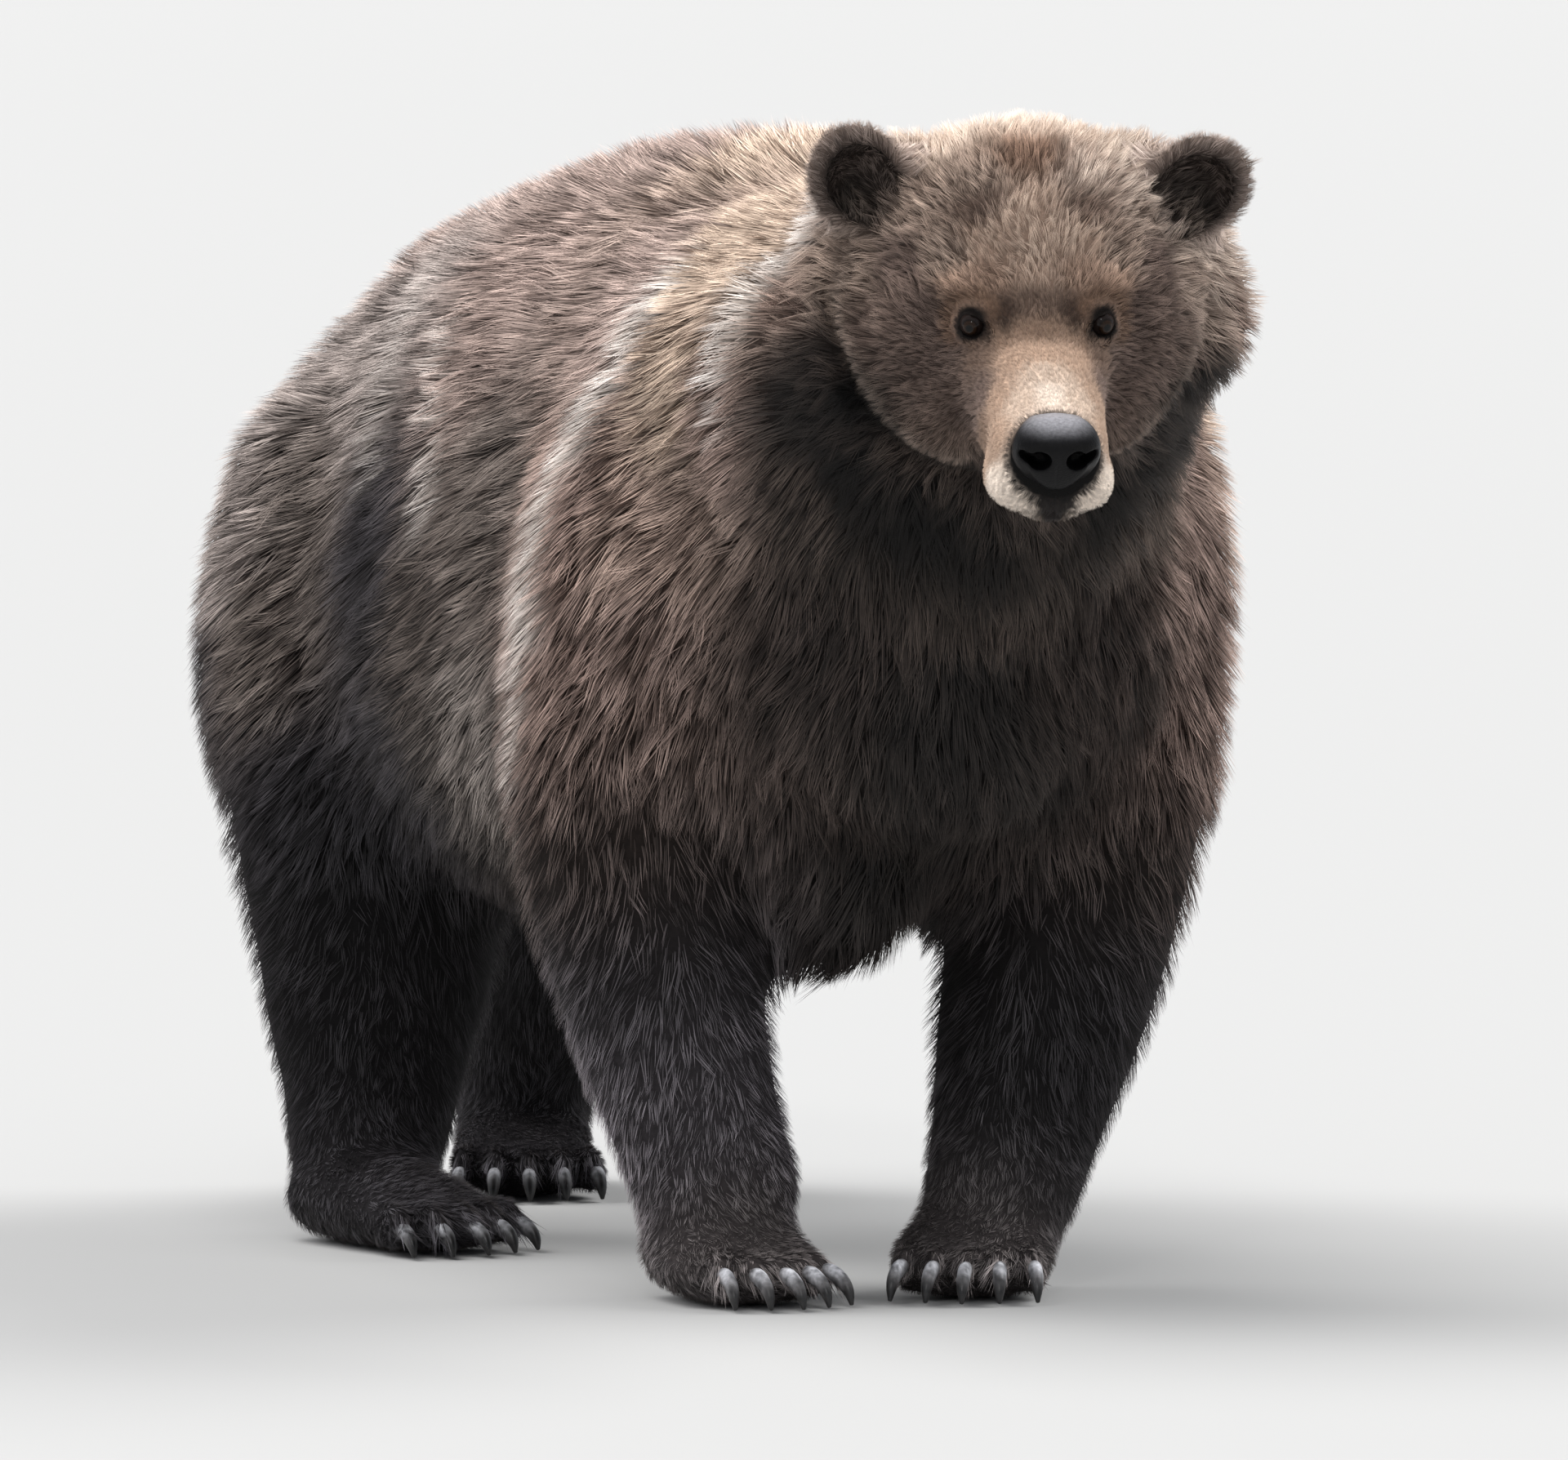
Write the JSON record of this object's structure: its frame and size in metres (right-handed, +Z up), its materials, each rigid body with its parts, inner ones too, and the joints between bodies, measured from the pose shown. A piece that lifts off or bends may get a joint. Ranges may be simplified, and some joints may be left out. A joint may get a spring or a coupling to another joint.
{
  "type": "grizzly bear, standing, life-size still model",
  "caption": "Heavy brown bear standing on all fours, humped shoulders, head turned to its right, round ears, tan muzzle, long curved claws.",
  "frame": {"origin": "middle of the bear's bounding box, on the floor its soles stand on", "axes": "+Z up, -Y the way the body faces, +X the bear's own left"},
  "size_m": [0.7812, 2.194, 1.2375],
  "materials": {
    "coat": "thick fur, warm dark brown with pale tips",
    "muzzle_coat": "short tan fur",
    "dark_coat": "dense fur, near-black brown",
    "nose_skin": "black, moist, finely pebbled",
    "claw_horn": "horn, grey-brown, paler along the ridge",
    "eye_surface": "wet, dark brown iris"
  },
  "bodies": {
    "root": {"claw_front_left_1": "claw_horn", "claw_front_left_2": "claw_horn", "claw_front_left_3": "claw_horn", "claw_front_left_4": "claw_horn", "claw_front_left_5": "claw_horn", "claw_front_right_1": "claw_horn", "claw_front_right_2": "claw_horn", "claw_front_right_3": "claw_horn", "claw_front_right_4": "claw_horn", "claw_front_right_5": "claw_horn", "claw_hind_left_1": "claw_horn", "claw_hind_left_2": "claw_horn", "claw_hind_left_3": "claw_horn", "claw_hind_left_4": "claw_horn", "claw_hind_left_5": "claw_horn", "claw_hind_right_1": "claw_horn", "claw_hind_right_2": "claw_horn", "claw_hind_right_3": "claw_horn", "claw_hind_right_4": "claw_horn", "claw_hind_right_5": "claw_horn", "ear_left": "dark_coat", "ear_right": "dark_coat", "eye_left": "eye_surface", "eye_right": "eye_surface", "front_left_lower_leg": "dark_coat", "front_left_paw": "dark_coat", "front_left_upper_leg": "coat", "front_right_lower_leg": "dark_coat", "front_right_paw": "dark_coat", "front_right_upper_leg": "coat", "head": "coat", "hind_left_lower_leg": "dark_coat", "hind_left_paw": "dark_coat", "hind_left_upper_leg": "coat", "hind_right_lower_leg": "dark_coat", "hind_right_paw": "dark_coat", "hind_right_upper_leg": "coat", "lower_jaw": "muzzle_coat", "muzzle": "muzzle_coat", "neck": "coat", "nose": "nose_skin", "rump": "coat", "tail": "coat", "trunk": "coat"}
  },
  "joints": []
}
